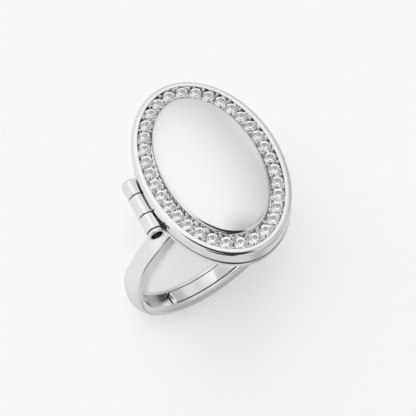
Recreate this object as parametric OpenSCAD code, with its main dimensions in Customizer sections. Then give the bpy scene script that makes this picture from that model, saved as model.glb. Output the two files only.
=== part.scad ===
// Oval locket ring, hinged lid with a stone channel, adjustable band.
// Millimetres. Ring frame: the locket faces +Z, its long axis is Y, the hinge
// is at -X, and the band's circle has its middle on the Z axis' foot. place()
// then lays the ring on its side: it rests on the locket's far tip and on the
// band's edge.

/* [Band] */
// Inside diameter of the band
finger_d = 17.3; // [15:0.1:20]
// Largest radial thickness of the left arm
band_t = 1.45; // [1.3:0.01:1.6]
// Radial thickness of the left arm a quarter turn away
mean_t = 1.13; // [1.05:0.01:1.3]
// Angle of the left arm's largest thickness
thick_at = 278; // [260:1:300]
// Width of the left arm's inner face
face_w = 2.04; // [1.8:0.01:2.4]
// Width of the channel in the left arm
slot_w = 1.50; // [1.3:0.01:1.6]
// Depth of the channel
slot_d = 0.86; // [0.7:0.01:1]
// Width of the right arm and its tongue
tongue_w = 1.38; // [1:0.01:1.5]
// Radial thickness of the right arm
tongue_t = 0.80; // [0.6:0.01:0.9]
// Radial thickness of the right arm's shoulder
shoulder_t = 1.25; // [0.9:0.01:1.4]
// Angle where the shoulder starts
shoulder_a0 = 34; // [30:1:60]
// Angle where the channel starts, from the right side
slot_a0 = 207; // [195:1:220]
// Angle of the tongue's end
tongue_a0 = 234.5; // [220:0.5:250]
// Angle where the channelled arm ends
chan_a1 = 328; // [290:1:332]
// Turn of the band against the locket
band_turn = 9.67; // [0:0.01:12]
// Shift of the band towards the hinge
band_x = 0.356; // [0:0.001:0.6]

/* [Locket] */
// Half length of the locket
oval_a = 9.11; // [8.5:0.01:9.6]
// Half width of the locket
oval_b = 6.20; // [5.8:0.01:6.6]
// Height of the parting line above the band's centre
split_z = 12.95; // [12.4:0.01:13.4]
// Height of the rim
rim_z = 14.445; // [14:0.005:15]
// Height of the dome's edge
crest_z = 14.686; // [14.2:0.001:15.1]
// Rise of the dome
dome_h = 0.55; // [0.2:0.01:0.8]
// Half length of the stone channel's outer edge
chan_a = 8.517; // [8.2:0.001:8.7]
// Half width of the stone channel's outer edge
chan_b = 5.604; // [5.4:0.001:5.8]
// Width of the stone channel
chan_w = 1.175; // [1:0.005:1.3]
// Depth of the stone channel
chan_d = 0.50; // [0.3:0.01:0.6]
// Wall of the locket
wall = 0.62; // [0.4:0.01:0.8]
// Height of the base's straight lip
lip_h = 0.75; // [0.5:0.01:1.5]
// Underside of the base
base_z0 = 9.5; // [9.2:0.01:10]
// Inside floor of the base
floor_z = 10.3; // [10.2:0.01:11]
// Size of the underside over the size of the rim
base_taper = 0.78; // [0.6:0.01:0.9]
// Gap between lid and base
seam = 0.06; // [0.03:0.01:0.1]

/* [Hinge] */
// Distance of the hinge from the locket's middle
hinge_x = 6.70; // [6.6:0.01:7.2]
// Shift of the hinge along the locket
hinge_y = -0.12; // [-0.5:0.01:0.5]
// Height of the hinge
hinge_z = 12.70; // [12.4:0.01:13]
// Radius of the knuckles
knuckle_r = 0.75; // [0.6:0.01:0.8]
// Length of the lid's knuckle
mid_l = 1.98; // [1.6:0.01:2.4]
// Length of the open outer knuckle
end_l = 1.95; // [1.4:0.01:2.2]
// Length of the closed outer knuckle without its round end
end_u = 1.42; // [1:0.01:2]
// Gap between knuckles
knuckle_gap = 0.07; // [0.03:0.01:0.1]
// Radius of the pin
pin_r = 0.34; // [0.25:0.01:0.4]
// Radius of the bores
bore_r = 0.37; // [0.28:0.01:0.45]

/* [Hidden] */
$fn = 120;
rest_a = 18.48;         // the locket's face leans this far up from level at rest
rest_b = 17.5;          // roll towards the hinge, about the locket's axis
rest_x = 0.353;         // shift to the middle of the footprint
rest_y = -3.375;
rest_z = 4.571;         // shift onto the floor
ri = finger_d / 2;
silver = [0.80, 0.80, 0.80];
y3 = mid_l / 2;
y4 = y3 + knuckle_gap;
y5 = y4 + end_l;
y6 = y4 + end_u;

ring_body();
lid();
stone_row();
hinge_pin();

// lays the ring on its side
module place() {
  translate([rest_x, rest_y, rest_z]) rotate([-(90 - rest_a), 0, 0]) rotate([0, 0, -rest_b]) children();
}

// upright oval bar, half sizes a (along Y) and b (along X), from z0 to z1
module oval(a, b, z0, z1, k0 = 1, k1 = 1) {
  translate([0, 0, z0]) scale([b, a, 1]) cylinder(h = z1 - z0, r1 = k0, r2 = k1);
}

// a bar along Y from ya to yb on the hinge's axis
module ybar(r, ya, yb) {
  translate([-hinge_x, hinge_y + yb, hinge_z]) rotate([90, 0, 0]) cylinder(h = yb - ya, r = r, $fn = 60);
}

// sweeps a profile (X radial, Y across the band) round the band from a0 to a1
module sweep(a0, a1) {
  rotate([90, 0, 0]) rotate([0, 0, a0]) rotate_extrude(angle = a1 - a0, $fn = 240) children();
}

// flat inner face, sides bulging to the band's full width
module side_profile() {
  d = 0.9;
  hw = face_w / 2;
  intersection() {
    translate([ri + d, 0]) circle(r = sqrt(hw * hw + d * d), $fn = 120);
    translate([ri, -2]) square([4, 4]);
  }
}

module channel_arm() {
  difference() {
    intersection() {
      sweep(70, chan_a1) side_profile();
      // rounded outside; its circle lies lower, so the arm thins towards the locket
      rotate([0, -thick_at, 0]) translate([band_t - mean_t, 0, 0]) rotate([90, 0, 0])
        rotate_extrude($fn = 240) translate([ri + mean_t - 1.9, 0]) circle(r = 1.9, $fn = 120);
    }
    // channel, open on the inside, with a round start
    sweep(slot_a0, chan_a1 + 4) translate([ri - 0.5, -slot_w / 2]) square([slot_d + 0.5, slot_w]);
    rotate([0, -slot_a0, 0]) translate([ri - 0.5, 0, 0]) rotate([0, 90, 0])
      cylinder(h = slot_d + 0.5, r = slot_w / 2, $fn = 60);
    // the arm's sides are flat towards the locket
    for (m = [0, 1]) mirror([0, m, 0]) translate([0, face_w / 2 - 0.01, 6]) rotate([2.2, 0, 0])
      translate([-20, 0, -30]) cube([40, 3, 60]);
  }
}

// thick part of the right arm under the locket
module shoulder() {
  sweep(shoulder_a0, 434) intersection() {
    side_profile();
    translate([ri + shoulder_t - 1.9, 0]) circle(r = 1.9, $fn = 120);
  }
}

// carries the locket between the arms
module bridge() {
  difference() {
    translate([-4.7, -face_w / 2, 6.8]) cube([9.4, face_w, 3.2]);
    rotate([90, 0, 0]) cylinder(h = 4, r = ri + 0.3, center = true, $fn = 240);
  }
}

module tongue_arm() {
  difference() {
    sweep(tongue_a0, 434) translate([ri, -tongue_w / 2]) square([tongue_t, tongue_w]);
    // bevelled end
    rotate([0, -tongue_a0, 0]) translate([ri, -1, 0]) rotate([0, -35, 0])
      translate([-1, 0, -1]) cube([3, 2, 1]);
  }
}

module cup() {
  za = split_z - seam / 2 - lip_h;
  zb = split_z - seam / 2;
  difference() {
    union() {
      oval(oval_a, oval_b, za, zb);
      oval(oval_a, oval_b, base_z0, za, base_taper, 1);
    }
    oval(oval_a - wall, oval_b - wall, za, zb + 1);
    oval(oval_a - wall, oval_b - wall, floor_z, za, 0.84, 1);
    // room for the lid's knuckle
    ybar(knuckle_r + 0.06, -y4, y4);
  }
}

// knuckle of the base and the lug under it, between ya and yb
module base_knuckle(ya, yb) {
  ybar(knuckle_r, ya, yb);
  translate([-hinge_x - 0.30, hinge_y + ya, hinge_z - 1.0]) cube([1.05, yb - ya, 1.0]);
}

module ring_body() color(silver) place() {
  difference() {
    union() {
      rotate([0, 0, band_turn]) translate([-band_x, 0, 0]) {
        channel_arm();
        tongue_arm();
        shoulder();
        bridge();
      }
      cup();
      base_knuckle(-y5, -y4);
      base_knuckle(y4, y6);
      // closed, domed end of the hinge
      translate([-hinge_x, hinge_y + y6, hinge_z]) scale([1, 0.45, 1]) sphere(r = knuckle_r, $fn = 60);
    }
    ybar(bore_r, -y5 - 1, y6 - 0.2);
  }
}

module lid() color(silver) place() {
  difference() {
    union() {
      oval(oval_a, oval_b, split_z + seam / 2, rim_z - 0.30);
      oval(oval_a, oval_b, rim_z - 0.30, rim_z, 1, 0.965);
    }
    // stone channel and the inside of the rim
    difference() {
      oval(chan_a, chan_b, rim_z - chan_d, rim_z + 1);
      oval(chan_a - chan_w - 0.08, chan_b - chan_w - 0.08, rim_z - chan_d - 1, rim_z + 2);
    }
    // hollow underside
    oval(oval_a - wall, oval_b - wall, split_z - 1, rim_z - chan_d - 0.35);
    oval(chan_a - chan_w - 0.6, chan_b - chan_w - 0.6, split_z - 1, crest_z - 0.4);
    // room for the base's knuckles
    ybar(knuckle_r + 0.06, -y5 - 0.06, -y3);
    ybar(knuckle_r + 0.06, y3, y6 + 0.40);
    ybar(bore_r, -y4, y4);
  }
  dome();
  // leaf and knuckle
  difference() {
    union() {
      ybar(knuckle_r, -y3, y3);
      translate([-hinge_x, hinge_y - y3, split_z + seam / 2]) cube([1.0, 2 * y3, 0.55]);
    }
    ybar(bore_r, -y4, y4);
  }
}

module dome() {
  da = chan_a - chan_w - 0.08;
  db = chan_b - chan_w - 0.08;
  cap_r = (1 + dome_h * dome_h) / (2 * dome_h);
  difference() {
    union() {
      oval(da, db, rim_z - 0.3, crest_z);
      intersection() {
        scale([db, da, 1]) translate([0, 0, crest_z + dome_h - cap_r]) sphere(r = cap_r);
        translate([-9, -9, crest_z]) cube([18, 18, 2]);
      }
    }
    oval(chan_a - chan_w - 0.6, chan_b - chan_w - 0.6, split_z - 1, crest_z - 0.4);
  }
}

module stone_row() color([0.9, 0.93, 0.96]) place() {
  difference() {
    oval(chan_a - 0.03, chan_b - 0.03, rim_z - chan_d + 0.02, rim_z - 0.05);
    oval(chan_a - chan_w - 0.05, chan_b - chan_w - 0.05, rim_z - chan_d - 1, rim_z + 1);
  }
}

module hinge_pin() color(silver) place() {
  ybar(pin_r, -y5 + 0.45, y6 - 0.24);
}
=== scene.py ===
import math

import bpy
import numpy as np
from mathutils import Matrix, Vector


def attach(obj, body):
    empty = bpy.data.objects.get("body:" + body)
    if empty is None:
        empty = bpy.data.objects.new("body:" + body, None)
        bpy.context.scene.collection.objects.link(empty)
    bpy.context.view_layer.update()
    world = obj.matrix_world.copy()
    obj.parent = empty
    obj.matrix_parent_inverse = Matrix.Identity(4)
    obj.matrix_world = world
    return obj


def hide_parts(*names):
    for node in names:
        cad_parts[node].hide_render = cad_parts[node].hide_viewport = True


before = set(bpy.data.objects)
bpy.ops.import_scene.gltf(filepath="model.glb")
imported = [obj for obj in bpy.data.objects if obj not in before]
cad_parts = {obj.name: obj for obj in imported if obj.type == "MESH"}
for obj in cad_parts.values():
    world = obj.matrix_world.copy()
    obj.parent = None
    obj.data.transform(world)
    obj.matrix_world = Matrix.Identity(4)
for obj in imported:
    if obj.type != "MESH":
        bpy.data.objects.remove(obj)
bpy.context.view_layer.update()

# ---------------------------------------------------------------------------
# The ring is modelled upright, in millimetres: the locket faces +Z, its long
# axis is Y, the hinge is at -X. to_row() lays it on its side, in metres, the
# same way as part.scad does.
# ---------------------------------------------------------------------------
REST_A, REST_B = math.radians(18.48), math.radians(17.5)
REST_T = np.array([0.353, -3.375, 4.571])


def rot_x(t):
    c, s = math.cos(t), math.sin(t)
    return np.array([[1, 0, 0], [0, c, -s], [0, s, c]])


def rot_z(t):
    c, s = math.cos(t), math.sin(t)
    return np.array([[c, -s, 0], [s, c, 0], [0, 0, 1]])


RR = rot_x(-(math.pi / 2 - REST_A)) @ rot_z(-REST_B)


def to_row(p):
    return (np.asarray(p, float) @ RR.T + REST_T) * 0.001


def dir_row(d):
    d = RR @ np.asarray(d, float)
    return d / np.linalg.norm(d)


# sizes, the same as in part.scad
RI = 8.65
OVAL_A, OVAL_B = 9.11, 6.20
RIM, CREST, DOME_H = 14.445, 14.686, 0.55
CHAN_A, CHAN_B, CHAN_W = 8.517, 5.604, 1.175
DOME_A, DOME_B = CHAN_A - CHAN_W - 0.08, CHAN_B - CHAN_W - 0.08
CAP_R = (1 + DOME_H * DOME_H) / (2 * DOME_H)
LID_Z, LIP_TOP, LIP_LOW = 12.98, 12.92, 12.17
WALL = 0.62
HX, HY, HZ, KR = -6.70, -0.12, 12.70, 0.75
Y3, Y4, Y5, Y6 = 0.99, 1.06, 3.01, 2.48
BORE, PIN = 0.37, 0.34
TURN, BAND_X = math.radians(9.67), 0.356


# ---------------------------------------------------------------------------
# Mesh building: grids of points with their own normals, welded into one mesh.
# ---------------------------------------------------------------------------
class Skin:
    def __init__(self):
        self.p, self.n, self.f, self.fn, self.count = [], [], [], [], 0

    def grid(self, P, N=None, close_u=False, close_v=False, flip=False):
        """P is (u, v, 3). N is the same shape, or it is worked out from the grid."""
        P = np.asarray(P, float)
        if N is None:
            N = grid_normals(P, close_u, close_v)
        if flip:
            N = -N
        nu, nv = P.shape[:2]
        ids = np.arange(nu * nv).reshape(nu, nv) + self.count
        iu = np.arange(nu if close_u else nu - 1)
        iv = np.arange(nv if close_v else nv - 1)
        a, b = np.meshgrid(iu, iv, indexing="ij")
        a2, b2 = (a + 1) % nu, (b + 1) % nv
        q = np.stack([ids[a, b], ids[a2, b], ids[a2, b2], ids[a, b2]], -1).reshape(-1, 4)
        if flip:
            q = q[:, ::-1]
        self.p.append(P.reshape(-1, 3))
        self.n.append(N.reshape(-1, 3))
        self.f.extend(q.tolist())
        self.count += nu * nv
        return self

    def fan(self, loop, normal, centre=None):
        """Closes a loop of points with a flat face of triangles round its middle."""
        loop = np.asarray(loop, float)
        c = loop.mean(0) if centre is None else np.asarray(centre, float)
        n = np.asarray(normal, float)
        n = n / np.linalg.norm(n)
        m = len(loop)
        self.p.append(np.vstack([loop, c]))
        self.n.append(np.tile(n, (m + 1, 1)))
        base = self.count
        a = loop[0] - c
        b = loop[m // 3] - c
        forward = np.dot(np.cross(a, b), n) > 0
        for i in range(m):
            j = (i + 1) % m
            t = [base + i, base + j, base + m]
            self.f.append(t if forward else t[::-1])
        self.count += m + 1
        return self

    def build(self, name, flat=False):
        P, N = np.vstack(self.p), np.vstack(self.n)
        key = np.round(P / 5e-5).astype(np.int64)
        _, first, inv = np.unique(key, axis=0, return_index=True, return_inverse=True)
        inv = inv.reshape(-1)
        faces, normals, seen = [], [], set()
        for f in self.f:
            g, src = [], []
            for i in f:
                w = inv[i]
                if w not in g:
                    g.append(w)
                    src.append(i)
            if len(g) < 3:
                continue
            k = tuple(sorted(g))
            if k in seen:
                continue
            seen.add(k)
            faces.append(g)
            normals.extend(src)
        verts = to_row(P[first])
        me = bpy.data.meshes.new(name)
        me.from_pydata(verts.tolist(), [], faces)
        me.update()
        if flat:
            me.polygons.foreach_set("use_smooth", [False] * len(me.polygons))
        else:
            me.polygons.foreach_set("use_smooth", [True] * len(me.polygons))
            L = N[normals] @ RR.T
            L /= np.maximum(np.linalg.norm(L, axis=1), 1e-12)[:, None]
            me.normals_split_custom_set(L.tolist())
        me.validate(verbose=False)
        ob = bpy.data.objects.new(name, me)
        bpy.context.scene.collection.objects.link(ob)
        return ob


def grid_normals(P, cu, cv):
    def diff(A, axis, closed):
        if closed:
            return np.roll(A, -1, axis) - np.roll(A, 1, axis)
        return np.gradient(A, axis=axis)

    n = np.cross(diff(P, 0, cu), diff(P, 1, cv))
    ln = np.linalg.norm(n, axis=-1)
    bad = ln < 1e-9
    if bad.any():
        # a collapsed row takes the normal of its neighbour
        for i, j in zip(*np.where(bad)):
            for di, dj in ((1, 0), (-1, 0), (0, 1), (0, -1), (2, 0), (-2, 0)):
                a, b = i + di, j + dj
                if 0 <= a < P.shape[0] and 0 <= b < P.shape[1] and ln[a, b] > 1e-9:
                    n[i, j] = n[a, b]
                    ln[i, j] = ln[a, b]
                    break
            else:
                n[i, j], ln[i, j] = (0, 0, 1), 1
    return n / ln[..., None]


def rounded(points, per=6):
    """A path of corners (..., radius) made into runs of (points, tangents). The last
    number of each corner is the length cut back on both sides for its rounding; 0
    keeps a hard corner, where a new run starts."""
    pts = [np.array(p[:-1], float) for p in points]
    cut = [p[-1] for p in points]
    runs, P, T = [], [], []
    # an oval's half length and half width change together
    gauge = np.array([0.5**0.5, 0.5**0.5, 1.0]) if len(pts[0]) == 3 else np.ones(2)

    def unit(v):
        return v / (np.linalg.norm(v * gauge) + 1e-15)

    for i in range(len(pts)):
        if i == 0:
            P, T = [pts[0]], [unit(pts[1] - pts[0])]
            continue
        if i == len(pts) - 1:
            P.append(pts[i])
            T.append(unit(pts[i] - pts[i - 1]))
            break
        a, b = unit(pts[i] - pts[i - 1]), unit(pts[i + 1] - pts[i])
        c = cut[i]
        if c <= 0:
            P.append(pts[i])
            T.append(a)
            runs.append((np.array(P), np.array(T)))
            P, T = [pts[i]], [b]
            continue
        p0, p2 = pts[i] - a * c, pts[i] + b * c
        for k in range(per + 1):
            t = k / per
            # rational, so that a right angle gives a true quarter circle
            w = math.cos(0.5 * math.acos(max(-1.0, min(1.0, float((a * gauge) @ (b * gauge))))))
            den = (1 - t) ** 2 + 2 * w * t * (1 - t) + t * t
            q = ((1 - t) ** 2 * p0 + 2 * w * t * (1 - t) * pts[i] + t * t * p2) / den
            dn = -2 * (1 - t) + 2 * w * (1 - 2 * t) + 2 * t
            dq = (
                (-2 * (1 - t) * p0 + 2 * w * (1 - 2 * t) * pts[i] + 2 * t * p2) * den
                - ((1 - t) ** 2 * p0 + 2 * w * t * (1 - t) * pts[i] + t * t * p2) * dn
            ) / den**2
            P.append(q)
            T.append(unit(dq))
    runs.append((np.array(P), np.array(T)))
    return runs


def oval_run(skin, P, T, theta, outward=1.0):
    """A ring surface. P is (m, 3) of half length, half width and height."""
    A, B, Z = P[:, 0], P[:, 1], P[:, 2]
    c, s = np.cos(theta)[:, None], np.sin(theta)[:, None]
    pts = np.stack([B * c, A * s, Z + 0 * c], -1)
    tu = np.stack([-B * s, A * c, 0 * (Z + c)], -1)
    tv = np.stack([T[:, 1] * c, T[:, 0] * s, T[:, 2] + 0 * c], -1)
    small = (np.abs(A) < 1e-6) & (np.abs(B) < 1e-6)
    if small.any():
        tu[:, small] = np.stack([-s * 1.0, c * 1.0, 0 * c], -1)
    n = np.cross(tu, tv)
    n /= np.maximum(np.linalg.norm(n, axis=-1), 1e-12)[..., None]
    return pts, n * outward


THETA = None


def thetas():
    """Angles round the locket: even, with close pairs where the hinge's steps are."""
    t = list(np.linspace(0, 2 * math.pi, 480, endpoint=False))
    # closer together where the lid's space for the hinge runs out
    for y0, y1 in ((HY - Y5 - 0.5, HY - Y5), (HY + Y6, HY + Y6 + 0.5)):
        t += [math.pi - math.asin(y / OVAL_A) for y in np.linspace(y0, y1, 24)]
    for y in (HY - Y4 - 0.02, HY + Y4 + 0.02):
        for e in (-0.006, 0.006):
            # on the hinge's side, cos is negative
            t.append(math.pi - math.asin((y + e) / OVAL_A))
    t = sorted(x % (2 * math.pi) for x in t)
    out = [t[0]]
    for x in t[1:]:
        if x - out[-1] > 2e-4:
            out.append(x)
    return np.array(out)


THETA = thetas()


def dense(P, T, step):
    """Adds points on the straight stretches of a run, no further apart than step."""
    Q, S = [P[0]], [T[0]]
    for i in range(1, len(P)):
        n = max(1, int(math.ceil(np.linalg.norm(P[i] - P[i - 1]) / step)))
        for k in range(1, n):
            w = k / n
            Q.append(P[i - 1] * (1 - w) + P[i] * w)
            S.append(T[i - 1] * (1 - w) + T[i] * w)
        Q.append(P[i])
        S.append(T[i])
    return np.array(Q), np.array(S)


def dent(pts, spans, r):
    """Moves points out of a round space along the hinge, between the given ends. A
    third number lets the space run out softly over that length beyond its ends."""
    x, z = pts[..., 0] - HX, pts[..., 2] - HZ
    d = np.hypot(x, z)
    y = pts[..., 1] - HY
    rad = np.zeros(d.shape)
    for a, b, soft in spans:
        over = np.maximum(np.maximum(a - y, y - b), 0)
        rad = np.maximum(rad, r * np.sqrt(np.maximum(1 - (over / max(soft, 1e-9)) ** 2, 0)))
    hit = (d < rad) & (d > 1e-6)
    k = np.where(hit, rad / np.maximum(d, 1e-6), 1.0)
    out = pts.copy()
    out[..., 0] = HX + x * k
    out[..., 2] = HZ + z * k
    return out, hit


def oval_skin(skin, corners, per=6, spans=(), r=0.81, outward=1.0, fine=None):
    """corners: (half length, half width, height, rounding)."""
    for P, T in rounded(corners, per):
        if fine:
            P, T = dense(P, T, fine)
        pts, n = oval_run(skin, P, T, THETA, outward)
        if spans:
            moved, hit = dent(pts, spans, r)
            if hit.any():
                n2 = grid_normals(moved, True, False)
                sign = np.sign((n2 * n).sum(-1))
                sign[sign == 0] = 1
                # a point on the wall of the space faces the hinge's axis
                h = np.stack([HX - moved[..., 0], 0 * moved[..., 1], HZ - moved[..., 2]], -1)
                h /= np.maximum(np.linalg.norm(h, axis=-1), 1e-9)[..., None]
                n = np.where(hit[..., None], h, n)
                pts = moved
        skin.grid(pts, n, close_u=True, flip=False) if outward > 0 else skin.grid(
            pts[::-1], n[::-1], close_u=True
        )
    return skin


# ---------------------------------------------------------------------------
# Lid: rim, stone channel, dome, hollow underside
# ---------------------------------------------------------------------------
def dome_curve(n=56, cut=0.34):
    """Half length, half width and height from the dome's wall to its middle."""
    lam2 = 1 - cut / (0.5 * (DOME_A + DOME_B))
    z = lambda l: CREST + DOME_H - CAP_R + math.sqrt(CAP_R**2 - l * l)
    dz = lambda l: -l / math.sqrt(CAP_R**2 - l * l)
    P, T = [], []
    p0 = np.array([DOME_A, DOME_B, CREST - cut])
    p1 = np.array([DOME_A, DOME_B, z(lam2) + (1 - lam2) * dz(lam2)])
    p2 = np.array([DOME_A * lam2, DOME_B * lam2, z(lam2)])
    for k in range(10):
        t = k / 10
        P.append((1 - t) ** 2 * p0 + 2 * t * (1 - t) * p1 + t * t * p2)
        T.append(2 * (1 - t) * (p1 - p0) + 2 * t * (p2 - p1))
    for k in range(n + 1):
        l = lam2 * (1 - k / n)
        P.append(np.array([DOME_A * l, DOME_B * l, z(l)]))
        T.append(np.array([-DOME_A, -DOME_B, -dz(l)]))
    T = [t / np.linalg.norm(t) for t in T]
    return np.array(P), np.array(T)


def make_lid():
    s = Skin()
    spans = [(-Y5 - 0.06, Y6 + 0.06, 0.42)]
    a, b = OVAL_A, OVAL_B
    fl = 13.66
    outer = [
        (a - WALL, b - WALL, LID_Z, 0.0),
        (a, b, LID_Z, 0.05),
        (a, b, RIM, 0.38),
        (CHAN_A, CHAN_B, RIM, 0.045),
        (CHAN_A, CHAN_B, fl, 0.0),
        (DOME_A, DOME_B, fl, 0.0),
        (DOME_A, DOME_B, CREST - 0.34, 0.0),
    ]
    oval_skin(s, outer[:2] + [(a, b, 13.6, 0.0)], spans=spans, r=0.84, fine=0.025)
    oval_skin(s, [(a, b, 13.6, 0.0)] + outer[2:], per=10)
    P, T = dome_curve()
    pts, n = oval_run(s, P, T, THETA)
    s.grid(pts, n, close_u=True)
    # underside
    ia, ib = CHAN_A - CHAN_W - 0.6, CHAN_B - CHAN_W - 0.6
    under = [
        (0.0, 0.0, CREST - 0.4, 0.0),
        (ia, ib, CREST - 0.4, 0.10),
        (ia, ib, 13.595, 0.06),
        (a - WALL, b - WALL, 13.595, 0.10),
        (a - WALL, b - WALL, LID_Z, 0.0),
    ]
    oval_skin(s, under, outward=1.0)
    return s.build("lid_shell")


# ---------------------------------------------------------------------------
# Base cup
# ---------------------------------------------------------------------------
def make_cup():
    s = Skin()
    a, b = OVAL_A, OVAL_B
    spans = [(-Y4 - 0.02, Y4 + 0.02, 0.0)]
    # the hinge's groove runs down into the sloping wall, so the outside is split below it
    k0, z1 = 0.78, 11.7
    k1 = k0 + (1 - k0) * (z1 - 9.5) / (LIP_LOW - 9.5)
    oval_skin(s, [(0.0, 0.0, 9.5, 0.0), (a * k0, b * k0, 9.5, 0.35), (a * k1, b * k1, z1, 0.0)], per=8)
    oval_skin(
        s,
        [(a * k1, b * k1, z1, 0.0), (a, b, LIP_LOW, 0.12), (a, b, LIP_TOP - 0.30, 0.06), (a - 0.28, b - 0.28, LIP_TOP - 0.01, 0.04), (a - WALL, b - WALL, LIP_TOP - 0.01, 0.05), (a - WALL, b - WALL, 12.3, 0.0)],
        spans=spans,
        fine=0.03,
    )
    inner = [
        (a - WALL, b - WALL, 12.3, 0.0),
        (a - WALL, b - WALL, LIP_LOW, 0.10),
        ((a - WALL) * 0.84, (b - WALL) * 0.84, 10.3, 0.45),
        (0.0, 0.0, 10.3, 0.0),
    ]
    oval_skin(s, inner, per=8)
    return s.build("base_cup")


# ---------------------------------------------------------------------------
# Hinge: round bars along Y with rounded edges
# ---------------------------------------------------------------------------
def ring_of(r, y, n=72):
    t = np.linspace(0, 2 * math.pi, n, endpoint=False)
    return np.stack([HX + r * np.cos(t), HY + y + 0 * t, HZ + r * np.sin(t)], -1)


def bar_run(s, P, T, n=72):
    """P is (m, 2) of radius and place along Y."""
    t = np.linspace(0, 2 * math.pi, n, endpoint=False)
    c, sn = np.cos(t)[:, None], np.sin(t)[:, None]
    r, y = P[:, 0], P[:, 1]
    pts = np.stack([HX + r * c, HY + y + 0 * c, HZ + r * sn], -1)
    tu = np.stack([-sn + 0 * r, 0 * (c + r), c + 0 * r], -1)
    tv = np.stack([T[:, 0] * c, T[:, 1] + 0 * c, T[:, 0] * sn], -1)
    nn = np.cross(tu, tv)
    nn /= np.maximum(np.linalg.norm(nn, axis=-1), 1e-12)[..., None]
    s.grid(pts, -nn, close_u=True, flip=False)
    # the grid's faces run the other way round from its normals
    m = len(s.f) - n * (len(P) - 1)
    s.f[m:] = [f[::-1] for f in s.f[m:]]
    return s


def bar_skin(s, corners, per=6):
    for P, T in rounded(corners, per):
        bar_run(s, P, T)
    return s


def prism(s, poly, ya, yb, cut=0.05):
    """A bar along Y with a polygon of (x, z) as its section, edges eased."""
    poly = [np.array(p, float) for p in poly]
    m = len(poly)
    sec = []
    for i in range(m):
        a = poly[i] - poly[i - 1]
        b = poly[(i + 1) % m] - poly[i]
        a, b = a / np.linalg.norm(a), b / np.linalg.norm(b)
        for k in range(6):
            t = k / 5
            sec.append((1 - t) ** 2 * (poly[i] - a * cut) + 2 * t * (1 - t) * poly[i] + t * t * (poly[i] + b * cut))
    sec = np.array(sec)
    mid = sec.mean(0)

    def at(y, inset):
        d = sec - mid
        ln = np.linalg.norm(d, axis=1)[:, None]
        q = mid + d * (1 - inset / ln)
        return np.stack([q[:, 0], np.full(len(q), y), q[:, 1]], -1)

    e = cut * 0.8
    rows = [at(ya, e), at(ya + e * 0.3, e * 0.3), at(ya + e, 0), at(yb - e, 0), at(yb - e * 0.3, e * 0.3), at(yb, e)]
    P = np.stack(rows, 1)
    N = grid_normals(P, True, False)
    out = P - np.array([mid[0], 0, mid[1]])
    out[..., 1] = 0
    flip = (N[:, 2] * out[:, 2]).sum() < 0
    s.grid(P, N, close_u=True, flip=bool(flip))
    s.fan(rows[0], (0, -1 if yb > ya else 1, 0))
    s.fan(rows[-1], (0, 1 if yb > ya else -1, 0))
    return s


def make_hinge_ends():
    s = Skin()
    e = 0.06
    # open end: eased rim, then the bore down to the pin
    bar_skin(
        s,
        [
            (BORE, -Y5 + 0.9, 0.0),
            (BORE, -Y5 + 0.62, 0.02),
            (0.55, -Y5 + 0.62, 0.02),
            (0.55, -Y5, 0.04),
            (KR, -Y5, 0.10),
            (KR, -Y5 + 0.33, 0.03),
            (KR - 0.12, -Y5 + 0.35, 0.01),
            (KR - 0.12, -Y5 + 0.44, 0.01),
            (KR, -Y5 + 0.46, 0.02),
            (KR, -Y4, e),
            (BORE, -Y4, 0.0),
            (BORE, -Y5 + 0.9, 0.0),
        ],
    )
    # closed end: a rounded cap
    P, T = [], []
    for k in range(25):
        t = math.pi / 2 * k / 24
        P.append((KR * math.cos(t), Y6 + 0.45 * KR * math.sin(t)))
        T.append((-KR * math.sin(t), 0.45 * KR * math.cos(t)))
    P, T = np.array(P), np.array(T)
    T /= np.linalg.norm(T, axis=1)[:, None]
    for Q, S in rounded([(0.0, Y4, 0.0), (KR, Y4, e), (KR, Y6, 0.0)], 6):
        bar_run(s, Q, S)
    bar_run(s, P, T)
    for ya, yb in ((-Y5, -Y4), (Y4, Y6)):
        lug = [(-7.02, 12.10), (-6.96, 11.98), (-6.62, 11.72), (-5.95, 11.72), (-5.95, 12.12)]
        prism(s, lug, HY + ya + 0.12, HY + yb - 0.02, 0.06)
        # the lug's upright part, beside the bore
        side = [(-6.12, 12.05), (-5.95, 12.05), (-5.95, 12.72), (-6.12, 12.72)]
        prism(s, side, HY + ya + 0.35, HY + yb - 0.03, 0.04)
    return s.build("hinge_ends")


def make_lid_knuckle():
    s = Skin()
    bar_skin(s, [(0.0, -Y3, 0.0), (KR, -Y3, 0.06), (KR, Y3, 0.06), (0.0, Y3, 0.0)])
    leaf = [(-6.72, 12.99), (-5.62, 12.99), (-5.62, 13.12), (-6.5, 13.12)]
    prism(s, leaf, HY - Y3 + 0.02, HY + Y3 - 0.02, 0.05)
    return s.build("lid_knuckle")


def make_pin():
    s = Skin()
    bar_skin(s, [(0.0, -Y5 + 0.45, 0.0), (PIN, -Y5 + 0.45, 0.07), (PIN, Y6 - 0.24, 0.05), (0.0, Y6 - 0.24, 0.0)])
    return s.build("pin_rod")


# ---------------------------------------------------------------------------
# Band
# ---------------------------------------------------------------------------
def band_to_head(r, y, phi):
    x = r * np.cos(phi) - BAND_X
    z = r * np.sin(phi)
    c, s = math.cos(TURN), math.sin(TURN)
    return np.stack([c * x - s * y, s * x + c * y, z], -1)


def ease(x, a, b):
    """0 below a, 1 above b, smooth between."""
    t = min(1.0, max(0.0, (x - a) / (b - a)))
    return t * t * (3 - 2 * t)


def outer_r(phi, y, mean=1.13, ecc=0.32, at=278.0):
    """The left arm's outer face: nearly flat across towards the locket, round below."""
    ce = ecc * math.cos(phi - math.radians(at))
    rc = 1.9 + 4.1 * (1 - ease(math.degrees(phi), 142, 185))
    rho = RI + mean - rc + np.sqrt(np.maximum(rc**2 - y * y, 0))
    return ce + np.sqrt(rho**2 - ecc**2 + ce**2)


def smin(a, b, k):
    h = np.clip(0.5 + 0.5 * (b - a) / k, 0, 1)
    return b * (1 - h) + a * h - k * h * (1 - h)


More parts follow.
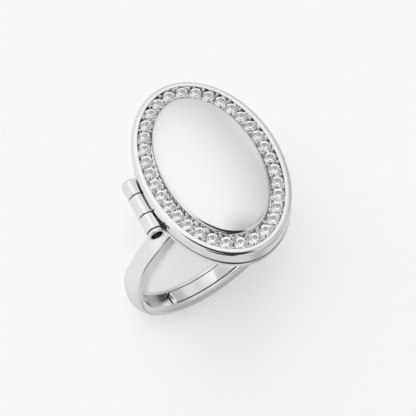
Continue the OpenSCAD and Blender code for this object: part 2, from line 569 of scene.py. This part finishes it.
def side_y(phi, rho):
    """Half width of the left arm at a depth rho from the inner face."""
    y = np.sqrt(np.maximum(1.36**2 - (rho - 0.9) ** 2, 0.01))
    z = (RI + rho) * math.sin(phi)
    y = smin(y, 1.01 + (6 - z) * math.tan(math.radians(2.2)), 0.04)
    # towards the locket the inner face is the wider one
    deg = math.degrees(phi)
    inner = 1.02 + 0.21 * ease(deg, 112, 135)
    wide = inner - (inner - 0.80) * rho / 0.9
    k = 1 - ease(deg, 142, 168)
    return y * (1 - k) + wide * k


def corner_cut(phi):
    """Rounding between the left arm's side and its outer face."""
    deg = math.degrees(phi)
    return 0.12 + 0.22 * ease(deg, 142, 180) * (1 - ease(deg, 222, 262))


def by_length(curve, c0, c1, n):
    d = np.concatenate([[0], np.cumsum(np.linalg.norm(np.diff(curve, axis=0), axis=1))])
    L = d[-1]
    t = np.linspace(min(c0, 0.45 * L), L - min(c1, 0.45 * L), n)
    return np.stack([np.interp(t, d, curve[:, 0]), np.interp(t, d, curve[:, 1])], -1)


def section(edges, cuts, counts, per=5):
    """Closed section of curves (rho, y). cuts[i] is the rounding where edge i starts."""
    m = len(edges)
    parts = []
    for i in range(m):
        parts.append(by_length(edges[i], cuts[i], cuts[(i + 1) % m], counts[i]))
    out = []
    for i in range(m):
        prev, here = parts[i - 1][-1], parts[i][0]
        corner = edges[i][0]
        for k in range(1, per):
            t = k / per
            out.append((1 - t) ** 2 * prev + 2 * t * (1 - t) * corner + t * t * here)
        out.extend(parts[i])
    return np.array(out)


SLOT_W, SLOT_D, SLOT_A0 = 0.75, 0.86, math.radians(207)


def arm_edges(phi, w):
    rho = np.linspace(0, 1.75, 260)
    y = side_y(phi, rho)
    f = outer_r(phi, y) - (RI + rho)
    k = int(np.argmax(f < 0))
    t = f[k - 1] / (f[k - 1] - f[k])
    rc = rho[k - 1] + t * (rho[k] - rho[k - 1])
    r1 = np.linspace(0, rc, 60)
    y1 = side_y(phi, r1)
    side = np.stack([r1, y1], -1)
    yc = y1[-1]
    yy = np.linspace(yc, -yc, 80)
    out = np.stack([outer_r(phi, yy) - RI, yy], -1)
    out[0] = side[-1]
    out[-1] = side[-1] * [1, -1]
    hw = y1[0]
    line = lambda a, b: np.array([a, b], float)
    if w is None:
        return [line((0, -hw), (0, 0)), line((0, 0), (0, hw)), side, out, (side * [1, -1])[::-1]]
    return [
        line((0, -hw), (0, -w)),
        line((0, -w), (SLOT_D, -w)),
        line((SLOT_D, -w), (SLOT_D, w)),
        line((SLOT_D, w), (0, w)),
        line((0, w), (0, hw)),
        side,
        out,
        (side * [1, -1])[::-1],
    ]


def make_band_left():
    s = Skin()
    half = SLOT_W / RI
    a_start = SLOT_A0 - half
    # plain part
    phis = np.linspace(math.radians(72), a_start, 150)
    rows = []
    for phi in phis:
        e = arm_edges(phi, None)
        ce = corner_cut(phi)
        sec = section(e, [0.06, 0.0, 0.06, ce, ce], [8, 8, 14, 25, 14])
        rows.append(band_to_head(RI + sec[:, 0], sec[:, 1], phi))
    P = np.array(rows)
    N = grid_normals(P, False, True)
    flip = outward_flip(P, N)
    s.grid(P, N, close_v=True, flip=flip)
    s.fan(P[0], band_dir(phis[0], -1))
    # channelled part
    k = np.linspace(0, 1, 22)
    ph = list(SLOT_A0 - half * np.cos(k * math.pi / 2))
    ph += list(np.linspace(SLOT_A0, math.radians(328), 150)[1:])
    rows = []
    for phi in ph:
        w = SLOT_W if phi >= SLOT_A0 else SLOT_W * math.sqrt(max(0.0, 1 - ((SLOT_A0 - phi) / half) ** 2))
        c = min(0.045, 0.35 * w)
        e = arm_edges(phi, w)
        ce = corner_cut(phi)
        sec = section(e, [0.06, c, c, c, c, 0.06, ce, ce], [8, 10, 12, 10, 8, 14, 25, 14])
        rows.append(band_to_head(RI + sec[:, 0], sec[:, 1], phi))
    P = np.array(rows)
    N = grid_normals(P, False, True)
    s.grid(P, N, close_v=True, flip=outward_flip(P, N, 45))
    last = P[-1]
    # the end face is filled with triangles between the inner and the outer line
    end_face(s, last, band_dir(ph[-1], 1), ph[-1])
    return s.build("band_left")


def end_face(s, loop, normal, phi):
    """Closes the C-shaped end of the channelled arm."""
    n = len(loop)
    # start of each part in the closed loop: 4 corner points, then the edge's own
    counts = [8, 10, 12, 10, 8, 14, 25, 14]
    start, at = [], 0
    for c in counts:
        start.append(at)
        at += 4 + c
    inner = loop[start[0] + 2 : start[5] + 2]  # inner face, slot, inner face
    outer = np.vstack([loop[start[5] + 2 :], loop[: start[0] + 2]])[::-1]
    m = max(len(inner), len(outer))

    def resample(c, k):
        d = np.concatenate([[0], np.cumsum(np.linalg.norm(np.diff(c, axis=0), axis=1))])
        t = np.linspace(0, d[-1], k)
        return np.stack([np.interp(t, d, c[:, i]) for i in range(3)], -1)

    # outer has its own points; a zipper of triangles joins both lines exactly
    i = j = 0
    tri = []
    while i < len(inner) - 1 or j < len(outer) - 1:
        fi = (i + 1) / (len(inner) - 1) if i < len(inner) - 1 else 9
        fj = (j + 1) / (len(outer) - 1) if j < len(outer) - 1 else 9
        if fi <= fj:
            tri.append((("i", i), ("i", i + 1), ("o", j)))
            i += 1
        else:
            tri.append((("i", i), ("o", j + 1), ("o", j)))
            j += 1
    pts = np.vstack([inner, outer])
    nn = np.asarray(normal, float)
    idx = lambda q: q[1] + (0 if q[0] == "i" else len(inner))
    base = s.count
    s.p.append(pts)
    s.n.append(np.tile(nn, (len(pts), 1)))
    for t in tri:
        f = [idx(q) for q in t]
        a, b, c = pts[f[0]], pts[f[1]], pts[f[2]]
        if np.dot(np.cross(b - a, c - a), nn) < 0:
            f = f[::-1]
        s.f.append([base + q for q in f])
    s.count += len(pts)


def band_dir(phi, sign):
    """Tangent of the band at phi, in the head's frame."""
    a = band_to_head(np.array([RI]), np.array([0.0]), phi - 0.001)[0]
    b = band_to_head(np.array([RI]), np.array([0.0]), phi + 0.001)[0]
    d = (b - a) * sign
    return d / np.linalg.norm(d)


def outward_flip(P, N, k=None):
    """True when the normals of a swept band point into the metal."""
    c = P.mean(axis=1, keepdims=True)
    return bool(((P - c) * N).sum(-1)[:, -20:-15].mean() < 0)


def make_band_right():
    s = Skin()
    a0 = math.radians(234.5)
    lead = 0.8 * math.tan(math.radians(18)) / RI

    def t_at(phi):
        return ease(math.degrees(phi) - 360, 33, 42)

    def prof(phi):
        # thin strip, wider and thicker on the shoulder under the locket
        t = t_at(phi)
        hw, th = 0.665 + t * (1.0 - 0.665), 0.80 + t * (1.22 - 0.80)
        crown = 0.10 * t
        yy = np.linspace(hw, -hw, 30)
        top = np.stack([th - crown * (yy / hw) ** 2, yy], -1)
        edges = [
            np.array([(0, -hw), (0, hw)], float),
            np.array([(0, hw), top[0]], float),
            top,
            np.array([top[-1], (0, -hw)], float),
        ]
        c = 0.06
        return section(edges, [c, c, 0.09, 0.09], [12, 8, 14, 8])

    phis = np.concatenate([a0 + np.array([0, 0.003, 0.0075, 0.014]), np.linspace(a0 + 0.022, math.radians(432), 230)])
    rows = []
    for i, phi in enumerate(phis):
        sec = prof(phi)
        inset = [0.13, 0.075, 0.03, 0.0][i] if i < 4 else 0.0
        if inset:
            mid = np.array([0.4, 0.0])
            d = sec - mid
            sec = mid + d * (1 - inset / np.maximum(np.linalg.norm(d, axis=1), 1e-6))[:, None]
        # the end leans: the outer face starts later than the inner one
        fade = max(0.0, 1 - (phi - a0) / 0.25)
        lean = lead * sec[:, 0] / 0.8 * fade
        r, y = RI + sec[:, 0], sec[:, 1] + 0.025 * (1 - t_at(phi))
        x = r * np.cos(phi + lean) - BAND_X
        z = r * np.sin(phi + lean)
        c, q = math.cos(TURN), math.sin(TURN)
        rows.append(np.stack([c * x - q * y, q * x + c * y, z], -1))
    P = np.array(rows)
    N = grid_normals(P, False, True)
    s.grid(P, N, close_v=True, flip=outward_flip(P, N))
    s.fan(P[0], band_dir(a0 + lead / 2, -1))
    s.fan(P[-1], band_dir(phis[-1], 1))
    return s.build("band_right")


def make_bridge():
    """The block under the cup that joins it to both arms."""
    s = Skin()
    n = 60
    xs = np.linspace(-4.7, 4.7, n)
    low = np.sqrt(np.maximum((RI + 0.3) ** 2 - xs**2, 0))
    low = np.maximum(low, 7.0)
    hw = 1.02
    c = 0.08
    rows = []
    for x, zl in zip(xs, low):
        zt = 9.9
        sec = []
        quad = [(-hw, zl), (hw, zl), (hw, zt), (-hw, zt)]
        for i in range(4):
            p = np.array(quad[i])
            a = p - np.array(quad[i - 1])
            b = np.array(quad[(i + 1) % 4]) - p
            a, b = a / np.linalg.norm(a), b / np.linalg.norm(b)
            for k in range(5):
                t = k / 4
                sec.append((1 - t) ** 2 * (p - a * c) + 2 * t * (1 - t) * p + t * t * (p + b * c))
        sec = np.array(sec)
        cx, sx = math.cos(TURN), math.sin(TURN)
        xx = np.full(len(sec), x - BAND_X)
        rows.append(np.stack([cx * xx - sx * sec[:, 0], sx * xx + cx * sec[:, 0], sec[:, 1]], -1))
    P = np.array(rows)
    N = grid_normals(P, False, True)
    cc = P.mean(axis=1, keepdims=True)
    flip = bool(((P - cc) * N).sum(-1).mean() < 0)
    s.grid(P, N, close_v=True, flip=flip)
    ax = np.array([math.cos(TURN), math.sin(TURN), 0])
    s.fan(P[0], -ax)
    s.fan(P[-1], ax)
    return s.build("band_bridge")


# ---------------------------------------------------------------------------
# Stones and the beads that hold them
# ---------------------------------------------------------------------------
STONE_A, STONE_B, STONES = 7.9288, 5.0158, 34


def on_row(shift=0.0):
    """Middle, outward direction and direction along the row for each place."""
    t = np.linspace(0, 2 * math.pi, 20001)
    ang = -math.pi / 2 - t
    E = np.stack([STONE_B * np.cos(ang), STONE_A * np.sin(ang)], -1)
    d = np.concatenate([[0], np.cumsum(np.linalg.norm(np.diff(E, axis=0), axis=1))])
    u = ((np.arange(STONES) - 0.059 + shift) / STONES % 1) * d[-1]
    a = np.interp(u, d, ang)
    c = np.stack([STONE_B * np.cos(a), STONE_A * np.sin(a)], -1)
    n = np.stack([np.cos(a) / STONE_B, np.sin(a) / STONE_A], -1)
    n /= np.linalg.norm(n, axis=1)[:, None]
    return c, n


def brilliant(R):
    """Round brilliant cut with its girdle at height 0: points and faces."""
    V, F = [], []

    def add(r, deg, z):
        V.append((r * math.cos(math.radians(deg)), r * math.sin(math.radians(deg)), z))
        return len(V) - 1

    ct, tab = 0.31 * R, 0.56 * R  # crown height, table radius
    g = 0.035 * R  # half height of the girdle
    tb = [add(tab, 45 * k, g + ct) for k in range(8)]
    md = [add(0.775 * R, 45 * k + 22.5, g + ct * 0.50) for k in range(8)]
    gu = [add(R, 22.5 * k, g) for k in range(16)]
    gl = [add(R, 22.5 * k, -g) for k in range(16)]
    pv = [add(0.25 * R, 45 * k + 22.5, -g - 0.86 * R * 0.765) for k in range(8)]
    cu = add(0, 0, -g - 0.86 * R)
    F.append(tb)
    for k in range(8):
        n = (k + 1) % 8
        F.append([tb[k], md[k], tb[n]])
        F.append([tb[k], md[k - 1], gu[2 * k], md[k]])
        F.append([md[k], gu[2 * k], gu[2 * k + 1]])
        F.append([md[k], gu[2 * k + 1], gu[(2 * k + 2) % 16]])
        F.append([cu, pv[k], gl[2 * k], pv[k - 1]])
        F.append([pv[k], gl[2 * k + 1], gl[2 * k]])
        F.append([pv[k], gl[(2 * k + 2) % 16], gl[2 * k + 1]])
    for k in range(16):
        n = (k + 1) % 16
        F.append([gu[k], gl[k], gl[n], gu[n]])
    return np.array(V), F


def make_stones():
    c, n = on_row()
    rng = np.random.RandomState(7)
    V, F = brilliant(0.575)
    allv, allf = [], []
    for i in range(STONES):
        a = math.atan2(n[i, 1], n[i, 0]) + rng.uniform(-0.35, 0.35)
        tilt = rng.uniform(-0.03, 0.03, 2)
        ca, sa = math.cos(a), math.sin(a)
        W = V.copy()
        W = np.stack([W[:, 0] * ca - W[:, 1] * sa, W[:, 0] * sa + W[:, 1] * ca, W[:, 2]], -1)
        W[:, 2] += W[:, 0] * tilt[0] + W[:, 1] * tilt[1]
        W += [c[i, 0], c[i, 1], 14.19 + rng.uniform(-0.008, 0.008)]
        base = len(allv) * len(V)
        allv.append(W)
        allf.extend([[base + q for q in f] for f in F])
    me = bpy.data.meshes.new("stones")
    me.from_pydata(to_row(np.vstack(allv)).tolist(), [], allf)
    me.update()
    # faces of a convex stone point away from its middle
    cen = to_row(np.column_stack([c, np.full(STONES, 14.1)]))
    for p in me.polygons:
        stone = p.vertices[0] // len(V)
        if (p.center - Vector(cen[stone])).dot(p.normal) < 0:
            p.flip()
    me.update()
    ob = bpy.data.objects.new("stones", me)
    bpy.context.scene.collection.objects.link(ob)
    return ob


def make_beads():
    c, n = on_row(0.5)
    s = Skin()
    rng = np.random.RandomState(11)
    nu, nv = 20, 11
    u = np.linspace(0, 2 * math.pi, nu, endpoint=False)
    v = np.linspace(math.pi / 2, -math.pi / 2, nv)
    U, Vv = np.meshgrid(u, v, indexing="ij")
    unit = np.stack([np.cos(Vv) * np.cos(U), np.cos(Vv) * np.sin(U), np.sin(Vv)], -1)
    for i in range(STONES):
        for side in (1, -1):
            r = 0.165 + rng.uniform(-0.012, 0.012)
            off = (0.588 - 0.145) * side
            p = np.array([c[i, 0] + n[i, 0] * off, c[i, 1] + n[i, 1] * off, 14.31])
            s.grid(unit * [r, r, r * 0.85] + p, unit / np.linalg.norm(unit * [1, 1, 1 / 0.85], axis=-1)[..., None], close_u=True, flip=False)
    # faces outward
    s.f = [f[::-1] for f in s.f]
    # foot of each bead, down to the channel's floor
    t = np.linspace(0, 2 * math.pi, nu, endpoint=False)
    for i in range(STONES):
        for side in (1, -1):
            off = (0.588 - 0.12) * side
            p = np.array([c[i, 0] + n[i, 0] * off, c[i, 1] + n[i, 1] * off])
            rows = [
                np.stack([p[0] + r * np.cos(t), p[1] + r * np.sin(t), np.full(nu, z)], -1)
                for r, z in ((0.10, 13.66), (0.12, 14.28))
            ]
            G = np.stack(rows, 1)
            N = np.stack([np.cos(t), np.sin(t), 0 * t], -1)[:, None].repeat(2, 1)
            s.grid(G, N, close_u=True)
            s.fan(rows[0], (0, 0, -1))
            s.fan(rows[1], (0, 0, 1))
    return s.build("stone_beads")


# ---------------------------------------------------------------------------
# Materials
# ---------------------------------------------------------------------------
def metal(name, base=(0.93, 0.93, 0.935), dark=(0.88, 0.88, 0.89), rough=(0.03, 0.075), bump=0.0006, scale=900):
    m = bpy.data.materials.new(name)
    m.use_nodes = True
    nt = m.node_tree
    bs = nt.nodes["Principled BSDF"]
    bs.inputs["Metallic"].default_value = 1.0
    co = nt.nodes.new("ShaderNodeTexCoord")
    n1 = nt.nodes.new("ShaderNodeTexNoise")
    n1.inputs["Scale"].default_value = scale
    n1.inputs["Detail"].default_value = 4
    nt.links.new(co.outputs["Object"], n1.inputs["Vector"])
    ramp = nt.nodes.new("ShaderNodeMapRange")
    ramp.inputs["To Min"].default_value, ramp.inputs["To Max"].default_value = rough
    nt.links.new(n1.outputs["Fac"], ramp.inputs["Value"])
    nt.links.new(ramp.outputs["Result"], bs.inputs["Roughness"])
    mix = nt.nodes.new("ShaderNodeMix")
    mix.data_type = "RGBA"
    mix.inputs["A"].default_value = (*dark, 1)
    mix.inputs["B"].default_value = (*base, 1)
    n2 = nt.nodes.new("ShaderNodeTexNoise")
    n2.inputs["Scale"].default_value = scale * 0.25
    nt.links.new(co.outputs["Object"], n2.inputs["Vector"])
    nt.links.new(n2.outputs["Fac"], mix.inputs["Factor"])
    nt.links.new(mix.outputs["Result"], bs.inputs["Base Color"])
    # fine polishing marks
    n3 = nt.nodes.new("ShaderNodeTexNoise")
    n3.inputs["Scale"].default_value = scale * 14
    n3.inputs["Detail"].default_value = 2
    nt.links.new(co.outputs["Object"], n3.inputs["Vector"])
    bp = nt.nodes.new("ShaderNodeBump")
    bp.inputs["Strength"].default_value = 0.12
    bp.inputs["Distance"].default_value = bump * 0.001
    nt.links.new(n3.outputs["Fac"], bp.inputs["Height"])
    nt.links.new(bp.outputs["Normal"], bs.inputs["Normal"])
    return m


def repaint(ob, mat, where):
    """Gives the faces whose middle meets a condition, in the ring's own frame, another material."""
    me = ob.data
    me.materials.append(mat)
    k = len(me.materials) - 1
    c = np.empty(len(me.polygons) * 3)
    me.polygons.foreach_get("center", c)
    p = (c.reshape(-1, 3) * 1000 - REST_T) @ RR
    idx = np.empty(len(me.polygons), np.int32)
    me.polygons.foreach_get("material_index", idx)
    idx[where(p)] = k
    me.polygons.foreach_set("material_index", idx)
    return ob


def stone_material():
    m = bpy.data.materials.new("clear_stone")
    m.use_nodes = True
    nt = m.node_tree
    bs = nt.nodes["Principled BSDF"]
    bs.inputs["Transmission Weight"].default_value = 1.0
    bs.inputs["IOR"].default_value = 1.80
    bs.inputs["Roughness"].default_value = 0.0
    co = nt.nodes.new("ShaderNodeTexCoord")
    n = nt.nodes.new("ShaderNodeTexNoise")
    n.inputs["Scale"].default_value = 600
    nt.links.new(co.outputs["Object"], n.inputs["Vector"])
    mix = nt.nodes.new("ShaderNodeMix")
    mix.data_type = "RGBA"
    mix.inputs["A"].default_value = (0.97, 0.985, 1.0, 1)
    mix.inputs["B"].default_value = (1.0, 1.0, 1.0, 1)
    nt.links.new(n.outputs["Fac"], mix.inputs["Factor"])
    nt.links.new(mix.outputs["Result"], bs.inputs["Base Color"])
    return m


silver = metal("polished_silver")
# painted shade: a dark grey silver for the band between lid and base
seam_shade_metal = metal("seam_painted_shade", (0.42, 0.42, 0.43), (0.30, 0.30, 0.31), (0.18, 0.30), 0.001, 1800)
# painted shade: a near-black silver for the bore's mouth, its groove and the channel under the tongue
recess_shade_metal = metal("recess_painted_shade", (0.24, 0.24, 0.24), (0.14, 0.14, 0.14), (0.22, 0.36), 0.002, 1800)
soft_silver = metal("soft_silver", (0.94, 0.94, 0.945), (0.91, 0.91, 0.92), (0.12, 0.17), 0.0006, 900)
satin = metal("satin_silver", (0.93, 0.93, 0.935), (0.87, 0.87, 0.88), (0.16, 0.30), 0.002, 1500)
bead_metal = metal("bead_silver", (0.95, 0.95, 0.955), (0.90, 0.90, 0.91), (0.06, 0.14), 0.001, 2500)
gem = stone_material()


def dress(ob, body, mat, slot, *nodes):
    ob.data.materials.append(mat)
    # the ring throws no light spots on the table
    ob.visible_diffuse = False
    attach(ob, body)
    if nodes:
        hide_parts(*nodes)
    return ob


band_left = dress(make_band_left(), "base", soft_silver, "metal", "ring_body")


def in_channel(p, under_tongue=False):
    c, s_ = math.cos(TURN), math.sin(TURN)
    x = c * p[:, 0] + s_ * p[:, 1] + BAND_X
    y = -s_ * p[:, 0] + c * p[:, 1]
    r = np.hypot(x, p[:, 2])
    hit = (np.abs(y) < SLOT_W + 0.005) & (r > RI + 0.05) & (r < RI + SLOT_D + 0.02)
    if under_tongue:
        hit &= np.degrees(np.arctan2(p[:, 2], x)) % 360 > 236
    return hit


repaint(band_left, satin, in_channel)
# painted shade on the channel's floor under the tongue
repaint(band_left, recess_shade_metal, lambda p: in_channel(p, True))
dress(make_band_right(), "base", silver, "metal", "ring_body")
dress(make_bridge(), "base", silver, "metal", "ring_body")
cup = dress(make_cup(), "base", silver, "metal", "ring_body")
# painted shade in the seam: the cup's lip top, under the lid's edge, is coloured dark grey
repaint(cup, seam_shade_metal, lambda p: (p[:, 2] > LIP_TOP - 0.295) & (p[:, 2] < LIP_TOP + 0.1))
hinge_ends = dress(make_hinge_ends(), "base", silver, "metal", "ring_body")


def in_bore(p):
    y = p[:, 1] - HY
    r = np.hypot(p[:, 0] - HX, p[:, 2] - HZ)
    mouth = (y > -Y5 + 0.05) & (y < -Y5 + 0.95) & (r < 0.56)
    groove = (y > -Y5 + 0.335) & (y < -Y5 + 0.455) & (r < KR - 0.025) & (r > 0.6)
    return mouth | groove


# painted shade in the bore's mouth and in the groove round the open end
repaint(hinge_ends, recess_shade_metal, in_bore)
dress(make_pin(), "base", satin, "metal", "hinge_pin")
dress(make_lid(), "lid", silver, "metal", "lid")
dress(make_lid_knuckle(), "lid", silver, "metal", "lid")
dress(make_stones(), "lid", gem, "stones", "stone_row")
dress(make_beads(), "lid", bead_metal, "metal")

# ---------------------------------------------------------------------------
# Floor, light and camera
# ---------------------------------------------------------------------------
fm = bpy.data.meshes.new("floor")
rings, seg = [0.0, 0.03, 0.08, 0.2, 0.5, 1.2, 3.0], 96
vv, ff = [], []
for i, r in enumerate(rings):
    for k in range(seg):
        vv.append((r * math.cos(2 * math.pi * k / seg), r * math.sin(2 * math.pi * k / seg), 0.0))
for i in range(len(rings) - 1):
    for k in range(seg):
        n = (k + 1) % seg
        a, b, c, d = i * seg + k, (i + 1) * seg + k, (i + 1) * seg + n, i * seg + n
        ff.append((b, c, a) if i == 0 else (a, b, c, d))
fm.from_pydata(vv, [], ff)
floor = bpy.data.objects.new("floor", fm)
bpy.context.scene.collection.objects.link(floor)
fmat = bpy.data.materials.new("pale_floor")
fmat.use_nodes = True
nt = fmat.node_tree
bs = nt.nodes["Principled BSDF"]
bs.inputs["Roughness"].default_value = 0.85
bs.inputs["Specular IOR Level"].default_value = 0.0
co = nt.nodes.new("ShaderNodeTexCoord")
nz = nt.nodes.new("ShaderNodeTexNoise")
nz.inputs["Scale"].default_value = 60
nz.inputs["Detail"].default_value = 6
nt.links.new(co.outputs["Object"], nz.inputs["Vector"])
mx = nt.nodes.new("ShaderNodeMix")
mx.data_type = "RGBA"
mx.inputs["A"].default_value = (0.895, 0.895, 0.895, 1)
mx.inputs["B"].default_value = (0.905, 0.905, 0.905, 1)
nt.links.new(nz.outputs["Fac"], mx.inputs["Factor"])
nt.links.new(mx.outputs["Result"], bs.inputs["Base Color"])
# a light table: the surface is lit from below too
nt.links.new(mx.outputs["Result"], bs.inputs["Emission Color"])
bs.inputs["Emission Strength"].default_value = 0.39
floor.data.materials.append(fmat)
floor.visible_glossy = False
floor.visible_transmission = False

# A white studio. Each lobe takes light away or adds it round one direction.
world = bpy.data.worlds.new("studio")
bpy.context.scene.world = world
world.use_nodes = True
nt = world.node_tree
nt.nodes.clear()
out = nt.nodes.new("ShaderNodeOutputWorld")
bg = nt.nodes.new("ShaderNodeBackground")
nt.links.new(bg.outputs["Background"], out.inputs["Surface"])
tc = nt.nodes.new("ShaderNodeTexCoord")
last = None


def lobe(direction, near_deg, far_deg, value, kind="head"):
    """Inside near_deg of the direction the light has this value, outside far_deg the
    value that it had before."""
    global last
    d = dir_row(direction) if kind == "head" else np.asarray(direction, float) / np.linalg.norm(direction)
    dot = nt.nodes.new("ShaderNodeVectorMath")
    dot.operation = "DOT_PRODUCT"
    dot.inputs[1].default_value = tuple(d)
    nt.links.new(tc.outputs["Generated"], dot.inputs[0])
    angle = nt.nodes.new("ShaderNodeMath")
    angle.operation = "ARCCOSINE"
    angle.use_clamp = False
    nt.links.new(dot.outputs["Value"], angle.inputs[0])
    mr = nt.nodes.new("ShaderNodeMapRange")
    mr.interpolation_type = "SMOOTHSTEP"
    mr.inputs["From Min"].default_value = math.radians(near_deg)
    mr.inputs["From Max"].default_value = math.radians(far_deg)
    mr.inputs["To Min"].default_value = 1.0
    mr.inputs["To Max"].default_value = 0.0
    nt.links.new(angle.outputs["Value"], mr.inputs["Value"])
    mixn = nt.nodes.new("ShaderNodeMix")
    mixn.data_type = "FLOAT"
    nt.links.new(mr.outputs["Result"], mixn.inputs["Factor"])
    if last is None:
        mixn.inputs["A"].default_value = BASE_LIGHT
    else:
        nt.links.new(last, mixn.inputs["A"])
    mixn.inputs["B"].default_value = value
    last = mixn.outputs["Result"]


BASE_LIGHT = 0.68


def polar(from_top, round_it):
    """A direction in the ring's own frame: degrees from its face's normal, and round it."""
    p, q = math.radians(from_top), math.radians(round_it)
    return (math.sin(p) * math.cos(q), math.sin(p) * math.sin(q), math.cos(p))


lobe(polar(95, 155), 35, 75, 0.83)
lobe(polar(24, 100), 5, 45, 1.03)
lobe(polar(60, 172), 6, 24, 1.0)
lobe(polar(85, 12), 16, 43, 0.50)
lobe(polar(55, 36), 4, 15, 0.78)
lobe(polar(163, 293), 7, 13, 0.46)
lobe(polar(38, 335), 4, 15, 0.45)
lobe(polar(48, 213), 8, 17, 0.07)
lobe(polar(45, 196), 10, 19, 0.05)
lobe(polar(28, 193), 7, 12, 0.05)
lobe(polar(114, 300), 14, 42, 0.42)
lobe(polar(10, 335), 2, 20, 0.50)
lobe(polar(36, 235), 19, 29, 0.03)
lobe(polar(58, 243), 13, 22, 0.03)
lobe(polar(60, 268), 4, 14, 0.10)
lobe(polar(91, 226), 15, 24, 0.02)

# what lights the floor is even and softer, and the backdrop is plain
path = nt.nodes.new("ShaderNodeLightPath")
for use, value in (("Is Diffuse Ray", 0.07), ("Is Camera Ray", 0.92)):
    pick = nt.nodes.new("ShaderNodeMix")
    pick.data_type = "FLOAT"
    nt.links.new(path.outputs[use], pick.inputs["Factor"])
    nt.links.new(last, pick.inputs["A"])
    pick.inputs["B"].default_value = value
    last = pick.outputs["Result"]
# the stones gather light from all round
share = nt.nodes.new("ShaderNodeMath")
share.operation = "MULTIPLY"
share.inputs[1].default_value = 0.12
nt.links.new(path.outputs["Is Transmission Ray"], share.inputs[0])
pick = nt.nodes.new("ShaderNodeMix")
pick.data_type = "FLOAT"
nt.links.new(share.outputs["Value"], pick.inputs["Factor"])
nt.links.new(last, pick.inputs["A"])
pick.inputs["B"].default_value = 3.4
last = pick.outputs["Result"]
nt.links.new(last, bg.inputs["Color"])
bg.inputs["Strength"].default_value = 1.0


# camera, solved from the outlines in the photo
CR = np.array(
    [[0.890230, -0.454601, -0.028770], [-0.416223, -0.786165, -0.456840], [0.185062, 0.418668, -0.889084]]
)
CC = np.array([-20.05805, -44.33094, 100.83991])
right, up, back = RR @ CR[0], RR @ -CR[1], RR @ -CR[2]
loc = to_row(CC)
cd = bpy.data.cameras.new("camera")
cd.sensor_width = 36.0
cd.sensor_fit = "HORIZONTAL"
cd.lens = 1159.335 / 416 * 36
cd.clip_start, cd.clip_end = 0.005, 20
cam = bpy.data.objects.new("camera", cd)
bpy.context.scene.collection.objects.link(cam)
cam.matrix_world = Matrix(
    [
        [right[0], up[0], back[0], loc[0]],
        [right[1], up[1], back[1], loc[1]],
        [right[2], up[2], back[2], loc[2]],
        [0, 0, 0, 1],
    ]
)
bpy.context.scene.camera = cam

# soft light from the camera's side; the second one is farther to the upper left
look = -back


def soft_sun(name, r, u, energy, spread):
    d = r * right + u * up - look
    d /= np.linalg.norm(d)
    li = bpy.data.lights.new(name, "SUN")
    li.energy = energy
    li.angle = math.radians(spread)
    ob = bpy.data.objects.new(name, li)
    bpy.context.scene.collection.objects.link(ob)
    ob.rotation_euler = Vector(-d).to_track_quat("-Z", "Y").to_euler()
    ob.visible_glossy = False
    ob.visible_transmission = False


soft_sun("key", 0.0, 0.01, 1.35, 5)
soft_sun("fill", -0.25, 0.41, 4.15, 40)

bpy.context.scene.view_settings.view_transform = "Standard"
bpy.context.scene.view_settings.look = "None"
